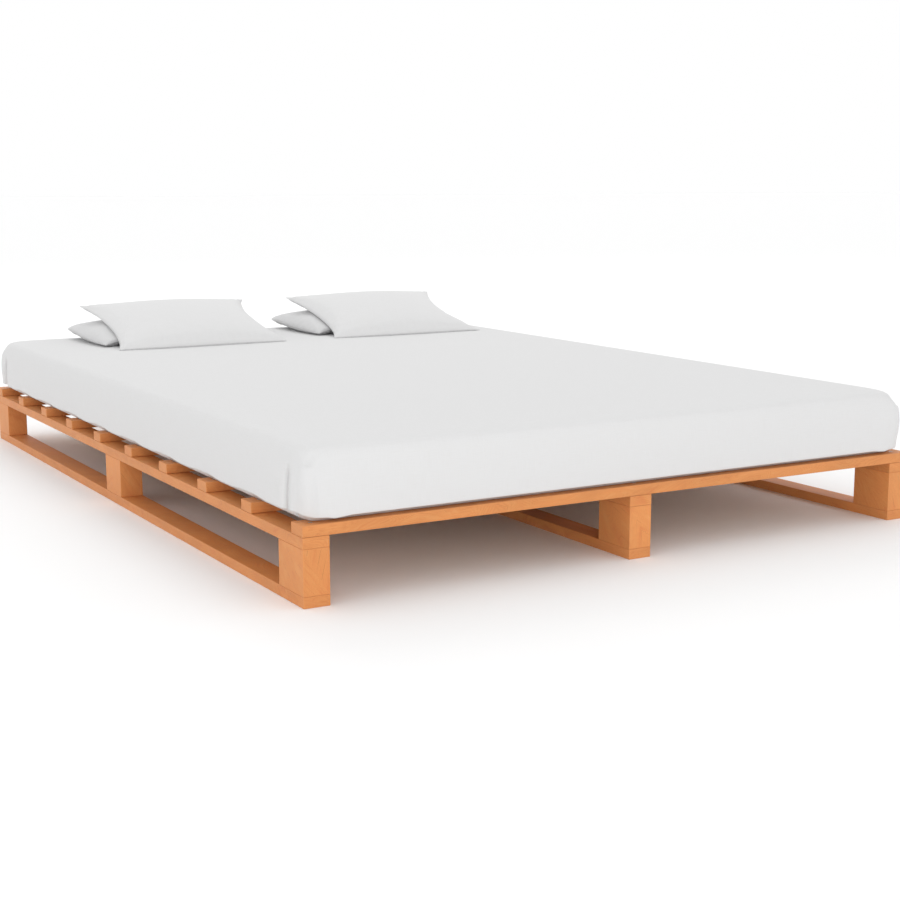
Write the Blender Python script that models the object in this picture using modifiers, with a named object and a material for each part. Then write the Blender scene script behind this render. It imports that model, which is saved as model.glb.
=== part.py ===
# Pallet bed: pine slats over three rails, blocks and floor runners, with a mattress, its sheet and four pillows.
# Metres, Z up. The origin is on the floor under the middle of the bed, and the foot end looks towards -Y.

import math

import bmesh
import bpy
from mathutils import Matrix, Vector

# The bed and its boards
BED_WIDTH = 1.400
BED_LENGTH = 2.000
SLAT_COUNT = 10
SLAT_WIDTH = 0.046
SLAT_THICKNESS = 0.020
RAIL_WIDTH = 0.050
RAIL_THICKNESS = 0.020
RUNNER_WIDTH = 0.050
RUNNER_THICKNESS = 0.020
BLOCK_WIDTH = 0.050
BLOCK_LENGTH = 0.100
BLOCK_HEIGHT = 0.0814
EASED_EDGE = 0.0015

# Clearances
SEAT_GAP = 0.0003  # between pieces that rest on each other
SCREW_CLEARANCE = 0.0004  # round a shank or a head in its bore
OVERRUN = 0.002  # how far a cutter stands out of what it cuts

# Leg screws, driven up through runner and block into the rail
LEG_SCREW_PITCH = 0.050
LEG_SCREW_OFFSET = 0.010  # to each side of the rail's middle line, clear of the slat screws
LEG_SCREW_GRIP = 0.014  # how far the point reaches into the rail
LEG_SCREW_RADIUS = 0.003
LEG_SCREW_POINT = 0.006
LEG_HEAD_RADIUS = 0.0055
LEG_HEAD_HEIGHT = 0.004
LEG_HEAD_RECESS = 0.002  # from the floor to the screw's head
LEG_SOCKET_RADIUS = 0.0025
LEG_SOCKET_DEPTH = 0.0025

# Slat screw holes, and the pilot holes under them in the rails
SLAT_HOLE_RADIUS = 0.0022
SLAT_SINK_RADIUS = 0.0045
SLAT_SINK_DEPTH = 0.003
SLAT_PILOT_RADIUS = 0.0015
SLAT_PILOT_DEPTH = 0.015

# Mattress and fitted sheet
MATTRESS_THICKNESS = 0.132
MATTRESS_INSET = 0.004  # from the frame's edge to the mattress under its sheet
MATTRESS_ROUNDING = 0.045  # reach of its rounded corners and bottom edge
MATTRESS_SIDE_LOOP = 0.040  # from its underside to where the side stands upright
MATTRESS_TOP_EASE = 0.008  # how far the top edge is eased in
MATTRESS_CROWN = 0.0015  # how far the top falls towards its edges
MATTRESS_DRAW_IN = 0.003  # how far the bottom edge is drawn in
SHEET_THICKNESS = 0.001
SHEET_HEM_HEIGHT = 0.0008  # how far the hem stays above the underside of the mattress

# Pillows
PILLOW_WIDTH = 0.470
LOWER_PILLOW_DEPTH = 0.315
UPPER_PILLOW_DEPTH = 0.344
PILLOW_SIDE_DRAW = 0.024  # how far the middle of a side is drawn in between the tips
PILLOW_END_DRAW = 0.010
LOWER_PILLOW_CROWN = 0.033
LOWER_PILLOW_BELLY = 0.021
UPPER_PILLOW_CROWN = 0.044
UPPER_PILLOW_BELLY = 0.006
UPPER_PILLOW_TIP = 0.006  # how far the tips curl up from the seam's plane
UPPER_PILLOW_RISE = 0.087  # from the foot seam to the head seam
UPPER_FOOT_SEAM_HEIGHT = 0.0015  # above the sheet
LOWER_HEAD_MARGIN = 0.050  # from the head end of the bed to the lower pillow's seam
UPPER_HEAD_MARGIN = 0.120
LEFT_PILLOW_X = -0.262
RIGHT_PILLOW_X = 0.352
LOWER_PILLOW_SHIFT = -0.013  # the lower pillow lies a little to the left of the upper one

# Counts of faces
SINK_SIDES = 12
PILOT_SIDES = 6
SCREW_SIDES = 10  # of a leg screw and of the bores round it
MATTRESS_LEVEL_COUNT = 2
PILLOW_CELLS_ACROSS = 10
PILLOW_CELLS_ALONG = 8
PILLOW_LEVEL_COUNT = 1
FULLNESS_SHARE = 0.4  # power of the pillow's dome, lower is fuller

# Heights of the layers
BLOCK_BASE = RUNNER_THICKNESS + SEAT_GAP
RAIL_BASE = BLOCK_BASE + BLOCK_HEIGHT + SEAT_GAP
SLAT_BASE = RAIL_BASE + RAIL_THICKNESS + SEAT_GAP
SLAT_TOP = SLAT_BASE + SLAT_THICKNESS
MATTRESS_BASE = SLAT_TOP + SEAT_GAP
MATTRESS_TOP = MATTRESS_BASE + MATTRESS_THICKNESS
SHEET_OFFSET = SEAT_GAP + SHEET_THICKNESS
SHEET_TOP = MATTRESS_TOP + SHEET_OFFSET

# Places of the rails and blocks
SIDE_X = (BED_WIDTH - RAIL_WIDTH) / 2
RAIL_PLACES = {"left": -SIDE_X, "centre": 0.0, "right": SIDE_X}
BLOCK_END_Y = (BED_LENGTH - BLOCK_LENGTH) / 2
BLOCK_PLACES = {"foot": -BLOCK_END_Y, "middle": 0.0, "head": BLOCK_END_Y}
FOOT_BLOCK = Vector((0.0, -BLOCK_END_Y, 0.0))
FIRST_SLAT_Y = (SLAT_WIDTH - BED_LENGTH) / 2
SLAT_PITCH = (BED_LENGTH - SLAT_WIDTH) / (SLAT_COUNT - 1)
LEG_SCREW_STEP = Vector((2 * LEG_SCREW_OFFSET, LEG_SCREW_PITCH, 0.0))
MERGE_DISTANCE = 0.00005


# Scene, collections and materials
def clear_scene():
    for item in list(bpy.data.objects):
        bpy.data.objects.remove(item, do_unlink=True)


def new_collection(name):
    collection = bpy.data.collections.new(name)
    bpy.context.scene.collection.children.link(collection)
    return collection


def new_material(name, color, roughness, metallic=0.0):
    material = bpy.data.materials.new(name)
    material.use_nodes = True
    surface = material.node_tree.nodes["Principled BSDF"]
    surface.inputs["Base Color"].default_value = (*color, 1.0)
    surface.inputs["Roughness"].default_value = roughness
    surface.inputs["Metallic"].default_value = metallic
    return material


def new_object(name, mesh, collection, place=(0.0, 0.0, 0.0), material=None):
    item = bpy.data.objects.new(name, mesh)
    item.location = place
    collection.objects.link(item)
    if material and not mesh.materials:
        mesh.materials.append(material)
    return item


def new_mesh(name, cage):
    mesh = bpy.data.meshes.new(name)
    cage.to_mesh(mesh)
    cage.free()
    return mesh


def new_body(name, place, parent):
    empty = bpy.data.objects.new(name, None)
    empty.location = place
    empty.parent = parent
    parts.objects.link(empty)
    return empty


# Boards: a block with eased edges, cut by its own bores
def board_mesh(name, size):
    cage = bmesh.new()
    bmesh.ops.create_cube(cage, size=1.0, matrix=Matrix.Diagonal((*size, 1.0)))
    return new_mesh(name, cage)


def board(name, mesh, place, material):
    item = new_object(name, mesh, parts, place, material)
    ease = item.modifiers.new("Eased edges", "BEVEL")
    ease.width = EASED_EDGE
    ease.segments = 1
    item.parent = bed_frame
    return item


def turned(name, profile, sides, collection, place=(0.0, 0.0, 0.0), material=None):
    # The profile's points are (radius, height), down the outer side
    cage = bmesh.new()
    points = [cage.verts.new((radius, 0.0, height)) for radius, height in profile]
    for first, second in zip(points, points[1:]):
        cage.edges.new((first, second))
    item = new_object(name, new_mesh(name, cage), collection, place, material)
    turn = item.modifiers.new("Turn", "SCREW")
    turn.axis = "Z"
    turn.steps = sides
    turn.render_steps = sides
    turn.use_merge_vertices = True
    turn.merge_threshold = MERGE_DISTANCE
    turn.use_smooth_shade = False
    return item


def repeat(item, step, count):
    row = item.modifiers.new("Row", "ARRAY")
    row.use_relative_offset = False
    row.use_constant_offset = True
    row.constant_offset_displace = step
    row.count = count


def cutter(name, profile, sides, place):
    item = turned(name, profile, sides, cutters, place)
    item.hide_render = True
    item.display_type = "WIRE"
    return item


def cut(item, tool):
    hole = item.modifiers.new("Bores", "BOOLEAN")
    hole.operation = "DIFFERENCE"
    hole.solver = "EXACT"
    hole.object = tool


def pair_in_block(tool):
    repeat(tool, LEG_SCREW_STEP, 2)


def pair_in_each_block(tool):
    repeat(tool, LEG_SCREW_STEP, 2)
    repeat(tool, (0.0, BLOCK_END_Y, 0.0), len(BLOCK_PLACES))


# Slats, from the foot end to the head end
def build_slats(material):
    mesh = board_mesh("slat", (BED_WIDTH, SLAT_WIDTH, SLAT_THICKNESS))
    top = SLAT_THICKNESS / 2
    slope = (SLAT_SINK_RADIUS - SLAT_HOLE_RADIUS) / SLAT_SINK_DEPTH
    hole_profile = (
        (0.0, top + OVERRUN),
        (SLAT_SINK_RADIUS + OVERRUN * slope, top + OVERRUN),
        (SLAT_HOLE_RADIUS, top - SLAT_SINK_DEPTH),
        (SLAT_HOLE_RADIUS, -top - OVERRUN),
        (0.0, -top - OVERRUN),
    )
    for index in range(SLAT_COUNT):
        place = Vector((0.0, FIRST_SLAT_Y + index * SLAT_PITCH, SLAT_BASE + top))
        slat = board(f"slat_{index + 1:02d}", mesh, place, material)
        holes = cutter(f"slat_holes_{index + 1:02d}", hole_profile, SINK_SIDES, place - Vector((SIDE_X, 0.0, 0.0)))
        repeat(holes, (SIDE_X, 0.0, 0.0), len(RAIL_PLACES))
        cut(slat, holes)


# Top rails, with blind bores for the points of the leg screws below and pilot holes for the slat screws above
def build_rails(material):
    mesh = board_mesh("top_rail", (RAIL_WIDTH, BED_LENGTH, RAIL_THICKNESS))
    half = RAIL_THICKNESS / 2
    radius = LEG_SCREW_RADIUS + SCREW_CLEARANCE
    bore_top = LEG_SCREW_GRIP + SCREW_CLEARANCE - half
    bore_profile = (
        (0.0, bore_top),
        (radius, bore_top),
        (radius, -half - OVERRUN),
        (0.0, -half - OVERRUN),
    )
    pilot_profile = (
        (0.0, half + OVERRUN),
        (SLAT_PILOT_RADIUS, half + OVERRUN),
        (SLAT_PILOT_RADIUS, half - SLAT_PILOT_DEPTH),
        (0.0, half - SLAT_PILOT_DEPTH),
    )
    for side, x in RAIL_PLACES.items():
        place = Vector((x, 0.0, RAIL_BASE + half))
        rail = board(f"top_rail_{side}", mesh, place, material)
        bores = cutter(f"rail_bores_{side}", bore_profile, SCREW_SIDES, place + FOOT_BLOCK - LEG_SCREW_STEP / 2)
        pair_in_each_block(bores)
        cut(rail, bores)
        first_slat = place + Vector((0.0, FIRST_SLAT_Y, 0.0))
        pilots = cutter(f"rail_pilots_{side}", pilot_profile, PILOT_SIDES, first_slat)
        repeat(pilots, (0.0, SLAT_PITCH, 0.0), SLAT_COUNT)
        cut(rail, pilots)


# Bottom runners, with bores stepped to take the heads of the leg screws
def build_runners(material):
    mesh = board_mesh("bottom_runner", (RUNNER_WIDTH, BED_LENGTH, RUNNER_THICKNESS))
    half = RUNNER_THICKNESS / 2
    shoulder = LEG_HEAD_RECESS + LEG_HEAD_HEIGHT + SEAT_GAP - half
    bore_profile = (
        (0.0, half + OVERRUN),
        (LEG_SCREW_RADIUS + SCREW_CLEARANCE, half + OVERRUN),
        (LEG_SCREW_RADIUS + SCREW_CLEARANCE, shoulder),
        (LEG_HEAD_RADIUS + SCREW_CLEARANCE, shoulder),
        (LEG_HEAD_RADIUS + SCREW_CLEARANCE, -half - OVERRUN),
        (0.0, -half - OVERRUN),
    )
    for side, x in RAIL_PLACES.items():
        place = Vector((x, 0.0, half))
        runner = board(f"bottom_runner_{side}", mesh, place, material)
        bores = cutter(f"runner_bores_{side}", bore_profile, SCREW_SIDES, place + FOOT_BLOCK - LEG_SCREW_STEP / 2)
        pair_in_each_block(bores)
        cut(runner, bores)


# Blocks, each with two bores right through
def build_blocks(material):
    mesh = board_mesh("block", (BLOCK_WIDTH, BLOCK_LENGTH, BLOCK_HEIGHT))
    half = BLOCK_HEIGHT / 2
    radius = LEG_SCREW_RADIUS + SCREW_CLEARANCE
    bore_profile = (
        (0.0, half + OVERRUN),
        (radius, half + OVERRUN),
        (radius, -half - OVERRUN),
        (0.0, -half - OVERRUN),
    )
    for side, x in RAIL_PLACES.items():
        for end, y in BLOCK_PLACES.items():
            place = Vector((x, y, BLOCK_BASE + half))
            block = board(f"block_{side}_{end}", mesh, place, material)
            bores = cutter(f"block_bores_{side}_{end}", bore_profile, SCREW_SIDES, place - LEG_SCREW_STEP / 2)
            pair_in_block(bores)
            cut(block, bores)


# Leg screws, heads down in the runners
def build_leg_screws(material):
    length = RAIL_BASE + LEG_SCREW_GRIP - LEG_HEAD_RECESS
    profile = (
        (0.0, length),
        (LEG_SCREW_RADIUS, length - LEG_SCREW_POINT),
        (LEG_SCREW_RADIUS, LEG_HEAD_HEIGHT),
        (LEG_HEAD_RADIUS, LEG_HEAD_HEIGHT),
        (LEG_HEAD_RADIUS, 0.0),
        (LEG_SOCKET_RADIUS, 0.0),
        (LEG_SOCKET_RADIUS, LEG_SOCKET_DEPTH),
        (0.0, LEG_SOCKET_DEPTH),
    )
    for side, x in RAIL_PLACES.items():
        for end, y in BLOCK_PLACES.items():
            for number, step in ((1, -LEG_SCREW_STEP / 2), (2, LEG_SCREW_STEP / 2)):
                name = f"leg_screw_{side}_{end}_{number}"
                place = Vector((x, y, LEG_HEAD_RECESS)) + step
                screw = turned(name, profile, SCREW_SIDES, parts, place, material)
                screw.parent = bed_frame


# Mattress and sheet share one cage, which the sheet's offset swells
def mattress_cage(offset):
    width = BED_WIDTH - 2 * MATTRESS_INSET + 2 * offset
    length = BED_LENGTH - 2 * MATTRESS_INSET + 2 * offset
    height = MATTRESS_THICKNESS + 2 * offset
    cage = bmesh.new()
    bmesh.ops.create_cube(cage, size=1.0, matrix=Matrix.Diagonal((width, length, height, 1.0)))
    bmesh.ops.translate(cage, verts=cage.verts, vec=(0.0, 0.0, MATTRESS_THICKNESS / 2))
    loop_x = width / 2 - MATTRESS_ROUNDING
    loop_y = length / 2 - MATTRESS_ROUNDING
    loops = (
        ((loop_x, 0.0, 0.0), (1.0, 0.0, 0.0)),
        ((-loop_x, 0.0, 0.0), (1.0, 0.0, 0.0)),
        ((0.0, loop_y, 0.0), (0.0, 1.0, 0.0)),
        ((0.0, -loop_y, 0.0), (0.0, 1.0, 0.0)),
        ((0.0, 0.0, MATTRESS_SIDE_LOOP), (0.0, 0.0, 1.0)),
    )
    for point, normal in loops:
        everything = cage.verts[:] + cage.edges[:] + cage.faces[:]
        bmesh.ops.bisect_plane(cage, geom=everything, dist=MERGE_DISTANCE, plane_co=point, plane_no=normal)
    for vert in cage.verts:
        top = vert.co.z > MATTRESS_SIDE_LOOP + MERGE_DISTANCE
        bottom = vert.co.z < MATTRESS_SIDE_LOOP - MERGE_DISTANCE
        inward = MATTRESS_TOP_EASE * top + MATTRESS_DRAW_IN * bottom
        outer_x = abs(vert.co.x) > loop_x + MERGE_DISTANCE
        outer_y = abs(vert.co.y) > loop_y + MERGE_DISTANCE
        vert.co.x -= math.copysign(inward * outer_x, vert.co.x)
        vert.co.y -= math.copysign(inward * outer_y, vert.co.y)
        if top and (outer_x or outer_y):
            vert.co.z -= MATTRESS_CROWN
    return cage


def soften(item, levels):
    smooth = item.modifiers.new("Soft form", "SUBSURF")
    smooth.levels = levels
    smooth.render_levels = levels


def build_mattress(material):
    item = new_object("mattress", new_mesh("mattress", mattress_cage(0.0)), parts, (0.0, 0.0, 0.0), material)
    soften(item, MATTRESS_LEVEL_COUNT)
    item.parent = mattress_body


# The fitted sheet wraps the mattress and ends in a hem under its rounded bottom edge
def build_sheet(material):
    form = new_object("sheet_form", new_mesh("sheet_form", mattress_cage(SHEET_OFFSET)), cutters)
    soften(form, MATTRESS_LEVEL_COUNT)
    bpy.context.view_layer.update()
    shape = form.evaluated_get(bpy.context.evaluated_depsgraph_get())
    mesh = bpy.data.meshes.new_from_object(shape)
    bpy.data.objects.remove(form, do_unlink=True)
    cage = bmesh.new()
    cage.from_mesh(mesh)
    under = [face for face in cage.faces if min(vert.co.z for vert in face.verts) < SHEET_HEM_HEIGHT]
    bmesh.ops.delete(cage, geom=under, context="FACES")
    cage.to_mesh(mesh)
    cage.free()
    mesh.name = "fitted_sheet"
    item = new_object("fitted_sheet", mesh, parts, (0.0, 0.0, 0.0), material)
    wall = item.modifiers.new("Cloth", "SOLIDIFY")
    wall.thickness = SHEET_THICKNESS
    wall.offset = -1.0
    item.parent = mattress_body


# A pillow is two sheets of cells sewn together round a seam, over and under the seam's plane
def pillow_mesh(name, depth, crown, belly, tip=0.0, press=None):
    # The underside is flat at the depth of the belly, and press(y) is the height that the top is kept under
    half_width = PILLOW_WIDTH / 2
    half_depth = depth / 2
    cage = bmesh.new()
    for side in (1, -1):
        grid = bmesh.ops.create_grid(cage, x_segments=PILLOW_CELLS_ACROSS, y_segments=PILLOW_CELLS_ALONG, size=1.0)
        faces = {face for vert in grid["verts"] for face in vert.link_faces}
        if side < 0:
            bmesh.ops.reverse_faces(cage, faces=list(faces))
        for vert in grid["verts"]:
            across, along = vert.co.x, vert.co.y
            x = across * (half_width - PILLOW_SIDE_DRAW * (1 - along**2))
            y = along * (half_depth - PILLOW_END_DRAW * (1 - across**2))
            dome = max((1 - across**2) * (1 - along**2), 0.0) ** FULLNESS_SHARE
            z = crown * dome if side > 0 else -min(crown * dome, belly)
            z += tip * (across * along) ** 2
            if press and (side > 0 or dome == 0.0):
                z = min(z, press(y))
            vert.co = (x, y, z)
    bmesh.ops.remove_doubles(cage, verts=cage.verts, dist=MERGE_DISTANCE)
    sharp_edge = cage.edges.layers.float.new("crease_edge")
    sharp_tip = cage.verts.layers.float.new("crease_vert")
    for edge in cage.edges:
        if len({face.normal.z > 0 for face in edge.link_faces}) > 1:
            edge[sharp_edge] = 1.0
    for vert in cage.verts:
        if len(vert.link_edges) == 2:
            vert[sharp_tip] = 1.0
    return new_mesh(name, cage)


def build_pillows(material):
    slope = UPPER_PILLOW_RISE / math.sqrt(UPPER_PILLOW_DEPTH**2 - UPPER_PILLOW_RISE**2)
    tilt = math.atan(slope)
    upper_y = BED_LENGTH / 2 - UPPER_HEAD_MARGIN - UPPER_PILLOW_DEPTH / 2 * math.cos(tilt)
    upper_z = SHEET_TOP + UPPER_FOOT_SEAM_HEIGHT + UPPER_PILLOW_RISE / 2
    lower_y = BED_LENGTH / 2 - LOWER_HEAD_MARGIN - LOWER_PILLOW_DEPTH / 2
    lower_z = SHEET_TOP + SEAT_GAP + LOWER_PILLOW_BELLY
    # The upper pillow's flat underside, seen from the lower pillow, less the gap between them
    contact = upper_z - (UPPER_PILLOW_BELLY + SEAT_GAP) / math.cos(tilt) - lower_z

    def press(y):
        return contact + slope * (y + lower_y - upper_y)

    lower_mesh = pillow_mesh("pillow_lower", LOWER_PILLOW_DEPTH, LOWER_PILLOW_CROWN, LOWER_PILLOW_BELLY, press=press)
    upper_mesh = pillow_mesh("pillow_upper", UPPER_PILLOW_DEPTH, UPPER_PILLOW_CROWN, UPPER_PILLOW_BELLY, UPPER_PILLOW_TIP)
    for side, x in (("left", LEFT_PILLOW_X), ("right", RIGHT_PILLOW_X)):
        lower_place = Vector((x + LOWER_PILLOW_SHIFT, lower_y, lower_z)) - mattress_body.location
        lower = new_object(f"pillow_lower_{side}", lower_mesh, parts, lower_place, material)
        upper_place = Vector((x, upper_y, upper_z)) - mattress_body.location - lower_place
        upper = new_object(f"pillow_upper_{side}", upper_mesh, parts, upper_place, material)
        upper.rotation_euler.x = tilt
        lower.parent = mattress_body
        upper.parent = lower
        soften(lower, PILLOW_LEVEL_COUNT)
        soften(upper, PILLOW_LEVEL_COUNT)


clear_scene()
parts = new_collection("Pallet bed")
cutters = new_collection("Cutters")
bed_frame = bpy.data.objects.new("bed_frame", None)
parts.objects.link(bed_frame)
mattress_body = new_body("mattress_body", (0.0, 0.0, MATTRESS_BASE), bed_frame)

build_slats(new_material("slat_pine", (0.72, 0.31, 0.13), 0.55))
build_rails(new_material("rail_pine", (0.69, 0.29, 0.12), 0.55))
build_runners(new_material("runner_pine", (0.69, 0.29, 0.12), 0.55))
build_blocks(new_material("block_pine", (0.66, 0.27, 0.11), 0.6))
build_leg_screws(new_material("screw_steel", (0.62, 0.62, 0.60), 0.35, 1.0))
build_mattress(new_material("mattress_foam", (0.80, 0.78, 0.72), 0.9))
build_sheet(new_material("sheet_cotton", (0.80, 0.80, 0.80), 0.9))
build_pillows(new_material("pillow_cotton", (0.82, 0.82, 0.82), 0.9))
bpy.context.view_layer.update()
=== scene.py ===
# Pallet bed in honey pine: boards, screws, mattress, fitted sheet and four pillows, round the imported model
# Metres, Z up, the floor at 0 and the foot end towards -Y

import math

import bpy
import numpy as np
from mathutils.bvhtree import BVHTree
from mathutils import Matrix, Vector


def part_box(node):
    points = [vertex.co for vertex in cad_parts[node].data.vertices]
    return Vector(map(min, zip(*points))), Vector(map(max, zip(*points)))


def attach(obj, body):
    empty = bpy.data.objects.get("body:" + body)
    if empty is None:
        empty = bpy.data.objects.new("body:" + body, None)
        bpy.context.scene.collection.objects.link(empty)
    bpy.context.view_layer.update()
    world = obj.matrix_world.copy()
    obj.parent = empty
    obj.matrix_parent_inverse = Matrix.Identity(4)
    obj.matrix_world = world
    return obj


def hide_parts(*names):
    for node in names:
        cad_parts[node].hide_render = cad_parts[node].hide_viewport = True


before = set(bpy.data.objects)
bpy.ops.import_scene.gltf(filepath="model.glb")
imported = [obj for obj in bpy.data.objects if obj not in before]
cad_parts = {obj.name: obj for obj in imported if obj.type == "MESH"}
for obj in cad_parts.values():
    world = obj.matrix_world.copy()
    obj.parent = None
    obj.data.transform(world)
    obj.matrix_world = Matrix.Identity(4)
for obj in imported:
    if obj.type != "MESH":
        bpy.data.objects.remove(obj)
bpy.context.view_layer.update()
scene = bpy.context.scene


# Node trees: a value in a tree takes part in sums, and every other node comes from node()
class Value:
    def __init__(self, maker, socket):
        self.maker = maker
        self.socket = socket

    def __add__(self, other):
        return self.maker.maths("ADD", self, other)

    def __radd__(self, other):
        return self.maker.maths("ADD", other, self)

    def __sub__(self, other):
        return self.maker.maths("SUBTRACT", self, other)

    def __rsub__(self, other):
        return self.maker.maths("SUBTRACT", other, self)

    def __mul__(self, other):
        return self.maker.maths("MULTIPLY", self, other)

    def __rmul__(self, other):
        return self.maker.maths("MULTIPLY", other, self)

    def __truediv__(self, other):
        return self.maker.maths("DIVIDE", self, other)

    def __rtruediv__(self, other):
        return self.maker.maths("DIVIDE", other, self)

    def __abs__(self):
        return self.maker.maths("ABSOLUTE", self)


class Maker:
    def node(self, kind, settings=None, values=None, output=0):
        made = self.tree.nodes.new(kind)
        for key, setting in (settings or {}).items():
            setattr(made, key, setting)
        for key, value in (values or {}).items():
            for one in value if isinstance(value, list) else [value]:
                if isinstance(one, Value):
                    self.tree.links.new(one.socket, made.inputs[key])
                else:
                    made.inputs[key].default_value = one
        return Value(self, made.outputs[output])

    def maths(self, operation, *terms):
        return self.node("ShaderNodeMath", {"operation": operation}, dict(enumerate(terms)))

    def vector(self, operation, *terms, output=0):
        return self.node("ShaderNodeVectorMath", {"operation": operation}, dict(enumerate(terms)), output)

    def apart(self, vector):
        split = self.node("ShaderNodeSeparateXYZ", {}, {0: vector})
        return [Value(self, socket) for socket in split.socket.node.outputs]

    def together(self, x, y, z):
        return self.node("ShaderNodeCombineXYZ", {}, {0: x, 1: y, 2: z})

    def band(self, value, low, high, start=0.0, end=1.0):  # a smooth step between two values
        settings = {"interpolation_type": "SMOOTHSTEP"}
        return self.node("ShaderNodeMapRange", settings, {0: value, 1: low, 2: high, 3: start, 4: end})


class Finish(Maker):  # a material
    def __init__(self, name, surface):
        self.material = bpy.data.materials.new(name)
        self.material.use_nodes = True
        self.tree = self.material.node_tree
        self.surface = self.tree.nodes["Principled BSDF"]
        for label, value in surface.items():
            self.surface.inputs[label].default_value = value

    def attribute(self, name, output="Vector"):
        return self.node("ShaderNodeAttribute", {"attribute_name": name}, {}, output)

    def noise(self, place, scale=1.0, detail=2.0, roughness=0.5, stretch=(1.0, 1.0, 1.0)):
        at = self.vector("MULTIPLY", place, stretch)
        values = {"Vector": at, "Scale": scale, "Detail": detail, "Roughness": roughness}
        return self.node("ShaderNodeTexNoise", {}, values)

    def sumOf(self, weights, **terms):  # a base, and what each term adds to it
        total = weights["base"]
        for name, term in terms.items():
            total = total + term * weights[name]
        return total

    def mix(self, share, first, second, blend="MIX"):
        settings = {"data_type": "RGBA", "blend_type": blend}
        return self.node("ShaderNodeMix", settings, {0: share, 6: first, 7: second}, 2)

    def show(self, **links):
        for label, value in links.items():
            self.tree.links.new(value.socket, self.surface.inputs[label.replace("_", " ")])
        return self.material

    def bump(self, height, distance, strength, under=None):
        values = {"Height": height, "Distance": distance, "Strength": strength}
        if under:
            values["Normal"] = under
        return self.node("ShaderNodeBump", {}, values)


class Form(Maker):  # a geometry tree with named inputs
    kinds = {float: "NodeSocketFloat", int: "NodeSocketInt", tuple: "NodeSocketVector"}

    def __init__(self, name, inputs):
        self.tree = bpy.data.node_groups.new(name, "GeometryNodeTree")
        face = self.tree.interface
        face.new_socket("Geometry", in_out="OUTPUT", socket_type="NodeSocketGeometry")
        face.new_socket("Geometry", in_out="INPUT", socket_type="NodeSocketGeometry")
        self.inputs = {}
        for label, value in inputs.items():
            kind = self.kinds.get(type(value), "NodeSocketMaterial")
            self.inputs[label] = face.new_socket(label, in_out="INPUT", socket_type=kind)
            if value is not None:
                self.inputs[label].default_value = value
        self.entry = self.tree.nodes.new("NodeGroupInput")
        self.exit = self.tree.nodes.new("NodeGroupOutput")

    def given(self, label):
        return Value(self, self.entry.outputs[label])

    def geometry(self, kind, source, settings=None, **values):
        named = {key.replace("_", " "): value for key, value in values.items()}
        return self.node("GeometryNode" + kind, settings, {0: source, **named})

    def store(self, source, name, value, kind):
        settings = {"data_type": kind, "domain": "POINT"}
        return self.geometry("StoreNamedAttribute", source, settings, Name=name, Value=value)

    def position(self):
        return self.node("GeometryNodeInputPosition")

    def cone(self, sides, top, bottom, depth):
        values = {"Vertices": sides, "Radius Top": top, "Radius Bottom": bottom, "Depth": depth}
        return self.node("GeometryNodeMeshCone", {}, values)

    def boolean(self, operation, meshes):
        return self.node("GeometryNodeMeshBoolean", {"operation": operation, "solver": "EXACT"}, meshes)

    def centredLine(self, count, step):  # points in a line whose middle is the origin
        number = self.given(count)
        stride = self.given(step)
        back = (number - 1) * -0.5
        start = self.vector("MULTIPLY", stride, self.together(back, back, back))
        values = {"Count": number, "Start Location": start, "Offset": stride}
        return self.node("GeometryNodeMeshLine", {}, values)

    def carriedLine(self, step):  # the line that the piece's object carries, cut into steps
        curve = self.geometry("MeshToCurve", self.given("Geometry"))
        return self.geometry("ResampleCurve", curve, {"mode": "LENGTH"}, Length=self.given(step))

    def random(self, low, high, seed, number=None):  # with a number, one draw for the whole piece
        kind = "FLOAT_VECTOR" if isinstance(low, tuple) else "FLOAT"
        node = self.node("FunctionNodeRandomValue", {"data_type": kind}, {"Seed": seed}).socket.node
        ends = [socket for socket in node.inputs if socket.enabled]
        ends[0].default_value = low
        ends[1].default_value = high
        if number is not None:
            node.inputs["ID"].default_value = number
        return Value(self, next(socket for socket in node.outputs if socket.enabled))

    def endCloth(self, geometry):
        marked = self.store(geometry, "clothPlace", self.position(), "FLOAT_VECTOR")
        self.end(self.geometry("SetShadeSmooth", marked))

    def end(self, geometry):
        real = self.geometry("RealizeInstances", geometry)
        done = self.geometry("SetMaterial", real, Material=self.given("Finish"))
        self.tree.links.new(done.socket, self.exit.inputs[0])

    def piece(self, name, base=None, **values):  # the tree's result as a plain mesh
        carrier = bpy.data.objects.new(name, base or bpy.data.meshes.new(name))
        scene.collection.objects.link(carrier)
        modifier = carrier.modifiers.new("Form", "NODES")
        modifier.node_group = self.tree
        for label, socket in self.inputs.items():
            if label.replace(" ", "") in values:
                modifier[socket.identifier] = values[label.replace(" ", "")]
        faces = carrier.modifiers.new("Flat faces", "WEIGHTED_NORMAL")
        faces.keep_sharp = True
        bpy.context.view_layer.update()
        made = carrier.evaluated_get(bpy.context.evaluated_depsgraph_get())
        mesh = bpy.data.meshes.new_from_object(made)
        mesh.name = name
        carrier.modifiers.clear()
        carrier.data = mesh
        return carrier


def addPiece(name, points, faces, material):
    mesh = bpy.data.meshes.new(name)
    mesh.from_pydata([tuple(point) for point in points], [], faces)
    mesh.polygons.foreach_set("use_smooth", [True] * len(mesh.polygons))
    mesh.update()
    piece = bpy.data.objects.new(name, mesh)
    scene.collection.objects.link(piece)
    mesh.materials.append(material)
    return piece


def storeVector(piece, name, values):
    attribute = piece.data.attributes.new(name, "FLOAT_VECTOR", "POINT")
    attribute.data.foreach_set("vector", np.asarray(values, np.float32).ravel())


def smoothStep(low, high, value):
    share = np.clip((value - low) / (high - low), 0.0, 1.0)
    return share * share * (3 - 2 * share)


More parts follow.
